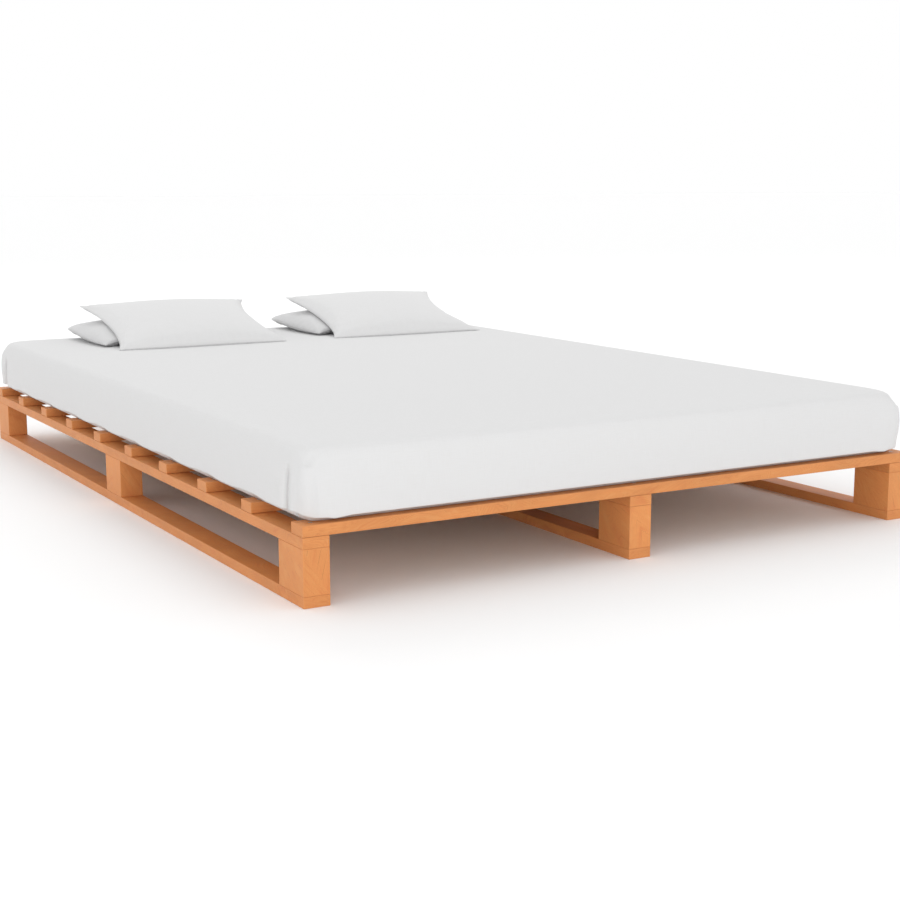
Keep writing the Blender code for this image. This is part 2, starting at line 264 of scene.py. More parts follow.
# Honey-stained pine: a solid pattern of growth rings round a pith that runs along each board
pineLook = {
    "surface": {"Coat Weight": 0.04, "Coat Roughness": 0.4, "Specular IOR Level": 0.35},
    "earlyWood": (0.690, 0.272, 0.084, 1.0),
    "lateWood": (0.550, 0.178, 0.048, 1.0),
    "redStreak": (0.620, 0.190, 0.060, 1.0),
    "paleStreak": (0.710, 0.320, 0.110, 1.0),
    "knot": (0.220, 0.062, 0.018, 1.0),
    "wornEdge": (0.720, 0.330, 0.130, 1.0),
    "ringPitch": 0.0046,
    "ringDrift": 0.007,  # how far the rings wander
    "ringSwirl": 0.012,  # how far they bend round a knot
    "lateRise": (0.35, 0.90),  # shares of a ring between which the late wood sets in
    "lateFall": (0.93, 1.0),
    "knotsPerMetre": 4.0,
    "knotRadius": 0.0085,
    "knotCore": 0.7,  # in knot radii, as the halo is
    "knotHalo": 4,
    "knotRaggedness": 0.004,
    "redBand": (0.52, 0.74),
    "paleBand": (0.30, 0.46, 0.5, 0.0),  # from and to these values, the share goes from and to those
    "poreBand": (0.62, 0.75),
    "wearBand": (0.35, 0.65, 0.15, 0.5),
    "haloShare": 0.35,
    "knotShare": 0.86,
    "ragged": {"scale": 90.0},
    "drift": {"detail": 3.0, "stretch": (1.1, 9.0, 9.0)},  # along the board, across it and through it
    "fibre": {"detail": 3.0, "roughness": 0.6, "stretch": (9.0, 420.0, 420.0)},
    "streak": {"stretch": (0.9, 22.0, 22.0)},
    "pores": {"detail": 1.0, "stretch": (40.0, 1400.0, 1400.0)},
    "light": {"base": 0.88, "fibre": 0.20, "tone": 0.13, "pores": -0.05},
    "roughness": {"base": 0.47, "fibre": 0.16, "late": -0.06, "edge": 0.08, "knot": -0.10},
    "relief": {"base": 0.0, "fibre": 0.6, "late": 0.25, "pores": 0.25, "knot": -0.3},
    "bump": (0.00018, 0.8),  # how deep the relief is and how strongly it shows
}


def makePine(name, brightness, rings=0.34, streaks=0.45):
    look = pineLook
    pine = Finish(name, look["surface"])
    place = pine.attribute("grainPlace")
    tone = pine.attribute("boardTone", "Fac")
    edge = pine.attribute("edgeWear", "Fac")
    along, across, through = pine.apart(place)

    flat = pine.together(along, across, 0.0)
    settings = {"voronoi_dimensions": "2D", "feature": "F1"}
    values = {"Vector": flat, "Scale": look["knotsPerMetre"]}
    cell = pine.node("ShaderNodeTexVoronoi", settings, values, "Distance")
    fromKnot = cell / look["knotsPerMetre"]
    ragged = pine.noise(place, **look["ragged"])
    knotEdge = fromKnot + (ragged - 0.5) * look["knotRaggedness"]
    knot = 1 - pine.band(knotEdge, look["knotRadius"] * look["knotCore"], look["knotRadius"])
    halo = 1 - pine.band(fromKnot, look["knotRadius"], look["knotRadius"] * look["knotHalo"])

    drift = pine.noise(place, **look["drift"])
    radius = pine.maths("SQRT", across * across + through * through)
    radius = radius + (drift - 0.5) * look["ringDrift"]
    growth = (radius + halo * halo * look["ringSwirl"]) / look["ringPitch"]
    share = pine.maths("FRACT", growth)
    late = pine.band(share, *look["lateRise"]) - pine.band(share, *look["lateFall"])

    fibre = pine.noise(place, **look["fibre"])
    streak = pine.noise(place, **look["streak"])
    pores = pine.noise(place, **look["pores"])

    colour = pine.mix(late * rings, look["earlyWood"], look["lateWood"])
    colour = pine.mix(pine.band(streak, *look["redBand"]) * streaks, colour, look["redStreak"])
    colour = pine.mix(pine.band(streak, *look["paleBand"]), colour, look["paleStreak"])
    colour = pine.mix(halo * look["haloShare"], colour, look["lateWood"])
    colour = pine.mix(knot * look["knotShare"], colour, look["knot"])
    colour = pine.mix(edge * pine.band(ragged, *look["wearBand"]), colour, look["wornEdge"])
    holes = pine.band(pores, *look["poreBand"])
    light = pine.sumOf(look["light"], fibre=fibre, tone=tone - 0.5, pores=holes)
    values = {0: colour, "Scale": light * brightness}
    colour = pine.node("ShaderNodeVectorMath", {"operation": "SCALE"}, values)

    rough = pine.sumOf(look["roughness"], fibre=fibre, late=late, edge=edge, knot=knot)
    relief = pine.sumOf(look["relief"], fibre=fibre, late=late, pores=pores, knot=knot)
    return pine.show(Base_Color=colour, Roughness=rough, Normal=pine.bump(relief, *look["bump"]))


slatPine = makePine("slatPine", brightness=0.98)
railPine = makePine("railPine", brightness=0.99)
runnerPine = makePine("runnerPine", brightness=0.98)
blockPine = makePine("blockPine", brightness=1.03, rings=0.12, streaks=0.60)


# Zinc-plated steel of the screws
steelLook = {
    "surface": {"Metallic": 1.0},
    "bright": (0.60, 0.585, 0.53, 1.0),
    "dull": (0.47, 0.46, 0.43, 1.0),
    "cloudBand": (0.35, 0.65),
    "cloud": {"scale": 260.0, "detail": 3.0},
    "scratch": {"roughness": 0.6, "stretch": (900.0, 900.0, 4000.0)},
    "roughness": {"base": 0.26, "cloud": 0.18, "scratch": 0.08},
    "bump": (0.00003, 0.6),
}


def makeSteel(name):
    look = steelLook
    steel = Finish(name, look["surface"])
    place = steel.node("ShaderNodeTexCoord", {}, {}, "Object")
    cloud = steel.noise(place, **look["cloud"])
    scratch = steel.noise(place, **look["scratch"])
    colour = steel.mix(steel.band(cloud, *look["cloudBand"]), look["bright"], look["dull"])
    rough = steel.sumOf(look["roughness"], cloud=cloud, scratch=scratch)
    return steel.show(Base_Color=colour, Roughness=rough, Normal=steel.bump(scratch, *look["bump"]))


screwSteel = makeSteel("screwSteel")


# White cotton, woven on the flat cloth's own coordinates
cottonLook = {
    "surface": {"Sheen Weight": 0.12, "Sheen Roughness": 0.45, "Specular IOR Level": 0.25},
    "threadPitch": 0.0011,
    "slub": (0.980, 0.977, 0.972, 1.0),
    "slubBand": (0.85, 1.25),
    "slubStretch": (30.0, 900.0),  # along a thread and across it
    "slubRoughness": 0.6,
    "gap": (0.86, 0.86, 0.87, 1.0),  # painted shade between the threads
    "gapBand": (-1.0, 0.2, 0.10, 0.0),
    "crumple": {"scale": 9.0, "detail": 3.0, "roughness": 0.55},
    "fine": {"scale": 38.0},
    "roughness": {"base": 0.82, "slubs": 0.06},
    "folds": {"base": 0.0, "crumple": 1.0, "fine": 0.22},
    "weave": {"base": 0.0, "over": 0.7, "slubs": 0.5},
    "foldBump": (0.0011, 1.0),
    "weaveBump": (0.00011, 0.6),
}


def makeCotton(name, white, crumples, threads=1.0):
    look = cottonLook
    cotton = Finish(name, look["surface"])
    place = cotton.attribute("clothPlace")
    u, v, _ = cotton.apart(place)
    turn = 2 * math.pi / (look["threadPitch"] * threads)
    warp = cotton.maths("SINE", u * turn)
    weft = cotton.maths("SINE", v * turn)
    over = warp * weft
    along, across = look["slubStretch"]
    warpSlubs = cotton.noise(place, roughness=look["slubRoughness"], stretch=(along, across, 1.0))
    weftSlubs = cotton.noise(place, roughness=look["slubRoughness"], stretch=(across, along, 1.0))
    slubs = warpSlubs + weftSlubs
    crumple = cotton.noise(place, **look["crumple"])
    fine = cotton.noise(place, **look["fine"])
    paint = cotton.mix(cotton.band(slubs, *look["slubBand"]), white, look["slub"], "MULTIPLY")
    # painted shade where the threads pass under one another
    paint = cotton.mix(cotton.band(over, *look["gapBand"]), paint, look["gap"], "MULTIPLY")
    depth, strength = look["foldBump"]
    folds = cotton.sumOf(look["folds"], crumple=crumple, fine=fine)
    folds = cotton.bump(folds, depth * crumples, strength)
    weave = cotton.sumOf(look["weave"], over=over, slubs=slubs)
    weave = cotton.bump(weave, *look["weaveBump"], folds)
    rough = cotton.sumOf(look["roughness"], slubs=slubs)
    return cotton.show(Base_Color=paint, Roughness=rough, Normal=weave)


sheetCotton = makeCotton("sheetCotton", white=(0.705, 0.705, 0.707, 1.0), crumples=0.5)
pillowCotton = {
    "upper": makeCotton("upperPillowCotton", white=(0.718, 0.718, 0.720, 1.0), crumples=0.9),
    # the lower pillows' cotton is darker than the upper ones' as painted shade on the lower pillows
    "lower": makeCotton("lowerPillowCotton", white=(0.650, 0.650, 0.653, 1.0), crumples=0.9),
}
hemCotton = makeCotton("hemCotton", white=(0.670, 0.670, 0.673, 1.0), crumples=1.2, threads=1.4)
threadCotton = makeCotton("threadCotton", white=(0.710, 0.710, 0.706, 1.0), crumples=0.4, threads=0.6)


# Knitted ticking of the mattress under the sheet, quilted in soft waves
tickingLook = {
    "surface": {"Sheen Weight": 0.1, "Specular IOR Level": 0.25},
    "ground": (0.61, 0.46, 0.34, 1.0),
    # the grooves' colour is painted shade in the quilting grooves
    "groove": (0.48, 0.35, 0.25, 1.0),
    # painted shade between the knit's loops
    "gap": (0.80, 0.80, 0.78, 1.0),
    "gapBand": (-0.2, 0.8, 0.12, 0.0),
    "waveTurn": 42.0,  # radians to the metre, as the knit's turns are
    "waveHeight": 0.012,
    "rowPitch": 0.055,
    "rowBand": (0.44, 0.5),
    "knitTurns": (4200.0, 3000.0, 2100.0),
    "grooveShare": 0.5,
    "roughness": {"base": 0.85, "knit": 0.05},
    "relief": {"base": 0.0, "knit": 0.05, "groove": -1.0},
    "bump": (0.0015, 0.8),
}


def makeTicking(name):
    look = tickingLook
    ticking = Finish(name, look["surface"])
    place = ticking.attribute("clothPlace")
    u, v, _ = ticking.apart(place)
    wave = ticking.maths("SINE", u * look["waveTurn"]) * look["waveHeight"]
    row = ticking.maths("FRACT", (v + wave) / look["rowPitch"])
    groove = ticking.band(abs(row - 0.5), *look["rowBand"])
    across, along, sway = look["knitTurns"]
    bent = v * along + ticking.maths("SINE", u * sway)
    knit = ticking.maths("SINE", u * across) * ticking.maths("SINE", bent)
    # painted shade in the quilting grooves and between the knit's loops
    paint = ticking.mix(groove * look["grooveShare"], look["ground"], look["groove"])
    paint = ticking.mix(ticking.band(knit, *look["gapBand"]), paint, look["gap"], "MULTIPLY")
    relief = ticking.sumOf(look["relief"], knit=knit, groove=groove)
    rough = ticking.sumOf(look["roughness"], knit=knit)
    return ticking.show(Base_Color=paint, Roughness=rough, Normal=ticking.bump(relief, *look["bump"]))


ticking = makeTicking("mattressTicking")
print("materials made")


# One board: a cuboid whose levels crowd into its edges, rounded there, drilled, and set in its place
boardInputs = {
    "Length": 1.4,
    "Width": 0.046,
    "Thickness": 0.02,
    "Levels Along": 30,
    "Edge Radius": 0.0012,
    "Edge Wear": 0.5,
    "Hole Count": 0,
    "Hole Step": (0.0, 0.0, 0.0),
    "Pair Count": 1,
    "Pair Step": (0.0, 0.0, 0.0),
    "Hole Side": 1.0,
    "Hole Mouth": 0.0045,
    "Hole Floor": 0.0022,
    "Hole Depth": 0.003,
    "Turn": (0.0, 0.0, 0.0),
    "Place": (0.0, 0.0, 0.0),
    "Seed": 1,
    "Finish": None,
}
boardLook = {
    "edgeSteps": 3,
    "levelSpacing": 0.05,
    "holeSides": 24,
    "holeOverrun": 0.001,
    "wearScale": 9.0,
    "wearShift": 3.7,  # from one board's wear to the next one's
    "wearBand": (0.25, 0.95),  # in edge radii
    "pithLow": (-9.0, -0.040, 0.030),
    "pithHigh": (9.0, 0.040, 0.085),
    "sharpAngle": 40,
    "firstSeed": 31,
}


def boardForm():
    form = Form("roundedBoard", boardInputs)
    look = boardLook
    short = 2 * look["edgeSteps"] + 2
    radius = form.given("Edge Radius")
    half = [form.given(label) * 0.5 for label in ("Length", "Width", "Thickness")]
    counts = [form.given("Levels Along"), short, short]
    cube = form.node("GeometryNodeMeshCube", {}, {0: (2.0, 2.0, 2.0), **dict(enumerate(counts, 1))})
    shares = form.apart(form.position())

    seedStep = form.together(form.given("Seed") * look["wearShift"], 0.0, 0.0)
    sized = form.vector("MULTIPLY", form.position(), form.together(*half))
    at = form.vector("ADD", sized, seedStep)
    wander = form.node("ShaderNodeTexNoise", {}, {"Vector": at, "Scale": look["wearScale"]})
    worn = radius * (1 + (wander - 0.5) * form.given("Edge Wear") * 2)

    inner, over = [], []
    for share, size, count in zip(shares, half, counts):
        middle = (count - 1) * 0.5
        level = abs(share * middle)
        flatLevels = middle - look["edgeSteps"]
        step = form.maths("MAXIMUM", level - flatLevels, 0.0) / look["edgeSteps"]
        side = form.maths("SIGN", share)
        inner.append(side * form.maths("MINIMUM", level / flatLevels, 1.0) * (size - worn))
        over.append(side * form.maths("TANGENT", step * (math.pi / 4)))
    outward = form.vector("NORMALIZE", form.together(*over))
    rounding = form.vector("MULTIPLY", outward, form.together(worn, worn, worn))
    rounded = form.vector("ADD", form.together(*inner), rounding)
    shaped = form.geometry("SetPosition", cube, Position=rounded)

    depth = form.given("Hole Depth")
    mouth = form.given("Hole Mouth")
    floor = form.given("Hole Floor")
    spread = (mouth - floor) / depth * look["holeOverrun"]
    cone = form.cone(look["holeSides"], mouth + spread, floor, depth + look["holeOverrun"])
    tool = form.geometry("Transform", cone, Translation=form.together(0.0, 0.0, half[2] - depth))
    tip = (1 - form.given("Hole Side")) * (math.pi / 2)
    tipped = form.geometry("Transform", tool, Rotation=form.together(tip, 0.0, 0.0))
    pairs = form.geometry("InstanceOnPoints", form.centredLine("Pair Count", "Pair Step"), Instance=tipped)
    holes = form.geometry("InstanceOnPoints", form.centredLine("Hole Count", "Hole Step"), Instance=pairs)
    tools = form.geometry("RealizeInstances", holes)
    drilled = form.boolean("DIFFERENCE", {"Mesh 1": shaped, "Mesh 2": tools})

    inset = [size - abs(value) for size, value in zip(half, form.apart(form.position()))]
    lower = form.maths("MINIMUM", inset[0], inset[1])
    upper = form.maths("MAXIMUM", inset[0], inset[1])
    second = form.maths("MAXIMUM", lower, form.maths("MINIMUM", upper, inset[2]))
    edge = form.band(second / radius, *look["wearBand"], 1.0, 0.0)
    marked = form.store(drilled, "edgeWear", edge, "FLOAT")

    seed = form.given("Seed") * 10
    pith = form.random(look["pithLow"], look["pithHigh"], seed + 1, 1)
    grain = form.vector("ADD", form.position(), pith)
    marked = form.store(marked, "grainPlace", grain, "FLOAT_VECTOR")
    marked = form.store(marked, "boardTone", form.random(0.0, 1.0, seed + 2, 2), "FLOAT")

    smooth = form.geometry("SetShadeSmooth", marked)
    bends = {0: form.node("GeometryNodeInputMeshEdgeAngle"), 1: math.radians(look["sharpAngle"])}
    sharp = form.node("FunctionNodeCompare", {"operation": "GREATER_THAN"}, bends)
    crisp = form.geometry("SetShadeSmooth", smooth, {"domain": "EDGE"}, Selection=sharp, Shade_Smooth=False)
    placed = form.geometry("Transform", crisp, Translation=form.given("Place"), Rotation=form.given("Turn"))
    form.end(placed)
    return form


woodSizes = {
    "slatCount": 10,
    "slatPitch": 0.2171,
    "firstSlat": -0.977,
    "screwOffset": 0.675,
    "blockOffset": 0.950,
    "closeUp": 0.0005,  # how much longer a post is than its solid, to close its seams
    "legScrewStep": (0.050, 0.020, 0.0),  # along the runner and across it
    "legHeadBore": 0.0059,
    "legHeadDepth": 0.0063,
}


def addBoards():
    form = boardForm()
    made = []

    def addBoard(name, node, slot, finish, grain, **extra):
        low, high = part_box(node)
        size = high - low
        middle = (low + high) / 2
        turn, order = {
            "x": ((0.0, 0.0, 0.0), (0, 1, 2)),
            "y": ((0.0, 0.0, math.pi / 2), (1, 0, 2)),
            "z": ((0.0, -math.pi / 2, 0.0), (2, 1, 0)),
        }[grain]
        length = size[order[0]]
        piece = form.piece(
            name,
            Length=length + (woodSizes["closeUp"] if grain == "z" else 0.0),
            Width=size[order[1]],
            Thickness=size[order[2]],
            LevelsAlong=max(int(length / boardLook["levelSpacing"]), 2) + 2 * boardLook["edgeSteps"],
            Turn=turn,
            Place=tuple(middle),
            Seed=len(made) + boardLook["firstSeed"],
            Finish=finish,
            **extra,
        )
        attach(piece, "bed_frame")
        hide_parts(node)
        made.append(piece)

    for number in range(1, woodSizes["slatCount"] + 1):
        holes = {"HoleCount": 3, "HoleStep": (woodSizes["screwOffset"], 0.0, 0.0)}
        addBoard(f"slat_board_{number:02d}", f"slat_{number:02d}", "slat_pine", slatPine, "x", **holes)
    for side in ("left", "centre", "right"):
        addBoard(f"top_rail_board_{side}", f"top_rail_{side}", "rail_pine", railPine, "y")
        addBoard(
            f"runner_board_{side}",
            f"bottom_runner_{side}",
            "runner_pine",
            runnerPine,
            "y",
            HoleCount=3,
            HoleStep=(woodSizes["blockOffset"], 0.0, 0.0),
            PairCount=2,
            PairStep=woodSizes["legScrewStep"],
            HoleSide=-1.0,
            HoleMouth=woodSizes["legHeadBore"],
            HoleFloor=woodSizes["legHeadBore"],
            HoleDepth=woodSizes["legHeadDepth"],
        )
        for end in ("foot", "middle", "head"):
            addBoard(f"post_{side}_{end}", f"block_{side}_{end}", "block_pine", blockPine, "z")
    return made


boards = addBoards()
print("boards made:", len(boards))


# Countersunk screws, one wherever a slat crosses a rail
screwInputs = {
    "Rows": woodSizes["slatCount"],
    "Row Step": (0.0, woodSizes["slatPitch"], 0.0),
    "Screws": 3,
    "Screw Step": (woodSizes["screwOffset"], 0.0, 0.0),
    "Top": 0.1421,
    "Head Sides": 20,
    "Head Radius": 0.0042,
    "Head Height": 0.0027,
    "Shank Sides": 10,
    "Shank Radius": 0.0019,
    "Shank Length": 0.026,
    "Point Share": 0.4,
    "Recess Length": 0.0042,
    "Recess Width": 0.0011,
    "Recess Depth": 0.0014,
    "Seed": 5,
    "Finish": None,
}


def addSlatScrews():
    form = Form("countersunkScrew", screwInputs)
    height = form.given("Head Height")
    shank = form.given("Shank Radius")
    head = form.cone(form.given("Head Sides"), form.given("Head Radius"), shank, height)
    head = form.geometry("Transform", head, Translation=form.together(0.0, 0.0, 0.0 - height))
    depth = form.given("Recess Depth")
    long = form.given("Recess Length")
    wide = form.given("Recess Width")
    bars = []
    for x, y in ((long, wide), (wide, long)):
        bars.append(form.node("GeometryNodeMeshCube", {}, {0: form.together(x, y, depth * 2)}))
    recess = form.boolean("UNION", {"Mesh 2": bars})
    driven = form.boolean("DIFFERENCE", {"Mesh 1": head, "Mesh 2": recess})
    length = form.given("Shank Length")
    stem = form.cone(form.given("Shank Sides"), shank, shank * form.given("Point Share"), length)
    stem = form.geometry("Transform", stem, Translation=form.together(0.0, 0.0, 0.0 - length - height))
    screw = form.node("GeometryNodeJoinGeometry", {}, {0: [driven, stem]})
    across = form.centredLine("Screws", "Screw Step")
    row = form.geometry("InstanceOnPoints", form.centredLine("Rows", "Row Step"), Instance=across)
    points = form.geometry("RealizeInstances", row)
    turn = form.random(0.0, 1.0, form.given("Seed")) * math.pi
    turned = form.together(0.0, 0.0, turn)
    screws = form.geometry("InstanceOnPoints", points, Instance=screw, Rotation=turned)
    raised = form.geometry("Transform", screws, Translation=form.together(0.0, 0.0, form.given("Top")))
    form.end(raised)
    piece = form.piece("slat_screws", Finish=screwSteel)
    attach(piece, "bed_frame")


addSlatScrews()
for name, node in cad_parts.items():
    if name.startswith("leg_screw"):
        node.data.materials.clear()
        node.data.materials.append(screwSteel)
print("screws made")


# Mattress and sheet: a grid on the top joined to rings that run down the sides and round the bottom edge
bedding = {
    "halfWidth": 0.6973,
    "halfLength": 0.9973,
    "top": 0.2759,
    "base": 0.1429,
    "cornerRadius": 0.030,
    "innerInset": 0.024,  # where the rings take over from the top's grid
    "topControls": ((1.345, 0.0), (0.045, 0.0), (0.008, -0.0015)),  # inset, and height from the top
    "baseControls": ((0.0, 0.0387), (0.003, 0.0)),  # inset, and height from the base
    "curveSteps": 200,
    "cornerCells": 4,
    "spacing": 0.015,
    "sideSpacing": 0.008,
    "cornerBlend": 0.020,
    "blendStart": 0.004,
    "sideLift": 0.0150,  # how high the bottom edge turns in, at the sides and at the two ends
    "footLift": 0.0078,
    "cornerDip": 0.0032,  # how much lower it turns in beside a corner of an end
    "dipPlace": 0.064,
    "dipWidth": 0.014,
    "slatDroop": 0.0034,  # how much lower the bottom edge of a side hangs between two slats
    "droopBand": (0.1, 0.9),
    "hemInset": 0.0006,  # how far the hem stands out past the curve's end
    "turnSteps": (5, 4, 8),  # rings down to the bottom edge, round it and along the bottom
    "turnRadius": 0.0022,
    "turnShare": 0.42,  # how far the bottom edge turns in, in half turns
    "turnReach": 0.0212,  # how far the bottom runs in before it lies on the slats
    "slopeBand": (0.55, 1.0),  # the share of that run in which it comes down
    "stitchRing": 4,  # counted from the hem
    "foldPlace": 0.926,
    "foldTop": 0.238,
    "foldFull": 0.205,
    "foldFoot": 0.006,
    "foldGroove": 0.0160,
    "foldWidth": 0.0090,
    "foldStep": 0.0042,
    "stepRise": (0.005, 0.009),
    "stepFall": (0.010, 0.050),
    "foldCell": 0.001,  # the grid beside a fold is finer
    "foldCells": 10,
    "foldClear": 0.014,
    "cornerTuck": 0.010,  # how far the foot of each corner is drawn in
    "tuckBand": (0.010, 0.070),
    "tuckReach": 0.060,
    "wallBand": (0.030, 0.012),  # how far inside a side its wall begins and is full
    "endMargin": 0.004,
    "topBand": 0.006,
    "topUnevenness": 0.0011,
    "topWaves": (0.62, 0.31),
    "ripple": 0.0005,
    "rippleWaves": (0.23, 0.11),
    "rippleBand": (0.030, 0.010),
    "seeds": {"top": 4, "ripple": 9},
    "sheetThickness": 0.001,
    "sheetCut": (1.68, 2.28),
    "coreInset": 0.004,
    "coreBase": 0.1426,
    "coreLift": 0.0022,
    "coreTurnReach": 0.0185,
    "coreFoldMore": 0.003,
}
tiny = 1e-9
wavesEach = 3  # of one length, each with its own direction


def rowsOf(x, y, z):
    return np.stack(np.broadcast_arrays(x, y, z), -1).reshape(-1, 3)


def gridFaces(numbers, turned=False):  # the faces between a grid's points, or the same seen from below
    faces = []
    for i in range(numbers.shape[0] - 1):
        for j in range(numbers.shape[1] - 1):
            a, b, c, d = numbers[i, j], numbers[i + 1, j], numbers[i + 1, j + 1], numbers[i, j + 1]
            faces.append((a, d, c, b) if turned else (a, b, c, d))
    return faces


def edgeCurve(size):  # inset and height down the side, as a spline through the top edge's rounding
    controls = [(inset, size["top"] + height) for inset, height in size["topControls"]]
    controls += [(inset, size["base"] + height) for inset, height in size["baseControls"]]
    controls = np.array(controls)
    rows = []
    for first in range(2):
        for step in range(size["curveSteps"]):
            t = step / size["curveSteps"]
            weights = ((1 - t) ** 3, 3 * t**3 - 6 * t**2 + 4, -3 * t**3 + 3 * t**2 + 3 * t + 1, t**3)
            rows.append(sum(w * c for w, c in zip(weights, controls[first : first + 4])) / 6)
    return np.array(rows)


def topHeight(curve, inset):
    return np.interp(inset, curve[::-1, 0], curve[::-1, 1])


def insetOf(x, y, size):
    reachX = size["halfWidth"] - np.abs(x)
    reachY = size["halfLength"] - np.abs(y)
    blend = size["cornerBlend"]
    return -blend * np.log(np.exp(-reachX / blend) + np.exp(-reachY / blend))


def gridLevels(half, size, folds):
    cell = (size["cornerRadius"] - size["innerInset"]) / size["cornerCells"]
    end = half - size["cornerRadius"]
    count = int(round(2 * end / size["spacing"]))
    levels = list(np.linspace(-end, end, count + 1))
    reach = size["foldCell"] * size["foldCells"]
    for close in folds:
        levels = [level for level in levels if abs(level - close) > size["foldClear"]]
        levels += list(close + np.arange(-reach, reach + size["foldCell"] / 2, size["foldCell"]))
    for step in range(1, size["cornerCells"] + 1):
        levels += [-end - step * cell, end + step * cell]
    return np.array(sorted(levels))


def softBox(size, closed):
    levelsX = gridLevels(size["halfWidth"], size, ())
    levelsY = gridLevels(size["halfLength"], size, (-size["foldPlace"], size["foldPlace"]))
    lastX, lastY = len(levelsX) - 1, len(levelsY) - 1
    gridX, gridY = np.meshgrid(levelsX, levelsY, indexing="ij")
    straightX = size["halfWidth"] - size["cornerRadius"]
    straightY = size["halfLength"] - size["cornerRadius"]
    overX = np.abs(gridX) - straightX
    overY = np.abs(gridY) - straightY
    corner = (overX > tiny) & (overY > tiny)
    length = np.where(corner, np.hypot(overX, overY), 1.0)
    shrink = np.where(corner, np.maximum(overX, overY) / length, 1.0)
    middleX = np.sign(gridX) * straightX
    middleY = np.sign(gridY) * straightY
    topX = np.where(corner, middleX + (gridX - middleX) * shrink, gridX)
    topY = np.where(corner, middleY + (gridY - middleY) * shrink, gridY)

    rim = [(i, 0) for i in range(lastX)] + [(lastX, j) for j in range(lastY)]
    rim += [(i, lastY) for i in range(lastX, 0, -1)] + [(0, j) for j in range(lastY, 0, -1)]
    rim = tuple(np.array(rim).T)
    rimX, rimY = topX[rim], topY[rim]
    acrossX = rimX - np.clip(rimX, -straightX, straightX)
    acrossY = rimY - np.clip(rimY, -straightY, straightY)
    away = np.hypot(acrossX, acrossY)
    outX, outY = acrossX / away, acrossY / away

    curve = edgeCurve(size)
    rings = curve[curve[:, 0] < size["innerInset"]]
    steps = np.concatenate([[0.0], np.cumsum(np.hypot(*np.diff(rings, axis=0).T))])
    count = int(round(steps[-1] / size["sideSpacing"]))
    wanted = np.linspace(0.0, steps[-1], count + 1)
    ringInset = np.interp(wanted, steps, rings[:, 0])
    ringHeight = np.interp(wanted, steps, rings[:, 1])

    numbers = np.arange(topX.size).reshape(topX.shape)
    points = [rowsOf(topX, topY, topHeight(curve, insetOf(topX, topY, size)))]
    cloth = [rowsOf(topX, topY, 0.0)]
    columns = [numbers[rim]]

    def addRing(inset, height, travelled):
        shift = size["innerInset"] - inset
        columns.append(np.arange(len(rimX)) + sum(len(part) for part in points))
        points.append(rowsOf(rimX + outX * shift, rimY + outY * shift, height))
        cloth.append(rowsOf(rimX + outX * travelled, rimY + outY * travelled, 0.0))

    for inset, height, far in list(zip(ringInset, ringHeight, wanted))[1:]:
        x = rimX + outX * (size["innerInset"] - inset)
        y = rimY + outY * (size["innerInset"] - inset)
        share = smoothStep(size["blendStart"], size["innerInset"], inset)
        softer = topHeight(curve, insetOf(x, y, size)) - topHeight(curve, inset)
        addRing(inset, height + share * softer, far)

    # The bottom edge turns in highest at the sides, a little lower there between two slats,
    # lower at the two ends and lowest beside their corners
    fromSide = size["halfWidth"] - np.abs(rimX)
    endWall = np.abs(outY)
    lift = size["sideLift"] + (size["footLift"] - size["sideLift"]) * endWall
    turns = 2 * math.pi * (rimY - woodSizes["firstSlat"]) / woodSizes["slatPitch"]
    droop = smoothStep(*size["droopBand"], 0.5 - 0.5 * np.cos(turns))
    lift -= size["slatDroop"] * droop * (1 - endWall)
    lift -= size["cornerDip"] * np.exp(-(((fromSide - size["dipPlace"]) / size["dipWidth"]) ** 2)) * endWall
    radius = size["turnRadius"]
    down, under, along = size["turnSteps"]
    lastInset, lastHeight, far = ringInset[-1] - size["hemInset"], ringHeight[-1], wanted[-1]
    for step in range(1, down + 1):
        height = lastHeight + (size["base"] + lift + radius - lastHeight) * (step / down)
        addRing(lastInset, height, far + (lastHeight - height))
    travelled = far + lastHeight - size["base"] - lift
    for step in range(1, under + 1):
        angle = step / under * math.pi * size["turnShare"]
        inset = lastInset + radius * (1 - math.cos(angle))
        addRing(inset, size["base"] + lift + radius * (1 - math.sin(angle)), travelled + radius * angle)
    above = lift + radius * (1 - math.sin(math.pi * size["turnShare"]))
    for step in range(1, along + 1):
        share = step / along
        inset = lastInset + radius + (size["turnReach"] - radius) * share
        height = size["base"] + above * (1 - smoothStep(*size["slopeBand"], share))
        addRing(inset, height, travelled + radius + size["turnReach"] * share)
    if closed:
        addRing(size["innerInset"], size["base"], travelled + size["innerInset"])

    faces = gridFaces(numbers)
    for upper, lower in zip(columns, columns[1:]):
        faces += zip(upper, lower, np.roll(lower, -1), np.roll(upper, -1))
    if closed:
        inside = rowsOf(topX[1:-1, 1:-1], topY[1:-1, 1:-1], 0.0)
        bottom = np.zeros_like(numbers)
        bottom[rim] = columns[-1]
        bottom[1:-1, 1:-1] = columns[-1][-1] + 1 + np.arange(len(inside)).reshape(lastX - 1, lastY - 1)
        points.append(inside + (0.0, 0.0, size["base"]))
        cloth.append(inside)
        faces += gridFaces(bottom, True)
    return np.concatenate(points), np.concatenate(cloth), faces, columns


def waves(x, y, seed, lengths):
    draw = np.random.default_rng(seed)
    total = np.zeros_like(x)
    for length in lengths:
        for _ in range(wavesEach):
            angle, phase = draw.uniform(0, math.pi), draw.uniform(0, 2 * math.pi)
            total += np.sin((x * math.cos(angle) + y * math.sin(angle)) * 2 * math.pi / length + phase)
    return total / (wavesEach * len(lengths))


def topDip(x, y):  # how far the sheet's top lies under its highest
    uneven = waves(x, y, bedding["seeds"]["top"], bedding["topWaves"])
    return bedding["topUnevenness"] * (0.5 + 0.5 * uneven)


def onWall(place, half):  # 1 on the two walls that stand this far from the middle, 0 well inside them
    outer, inner = bedding["wallBand"]
    return smoothStep(half - outer, half - inner, np.abs(place))


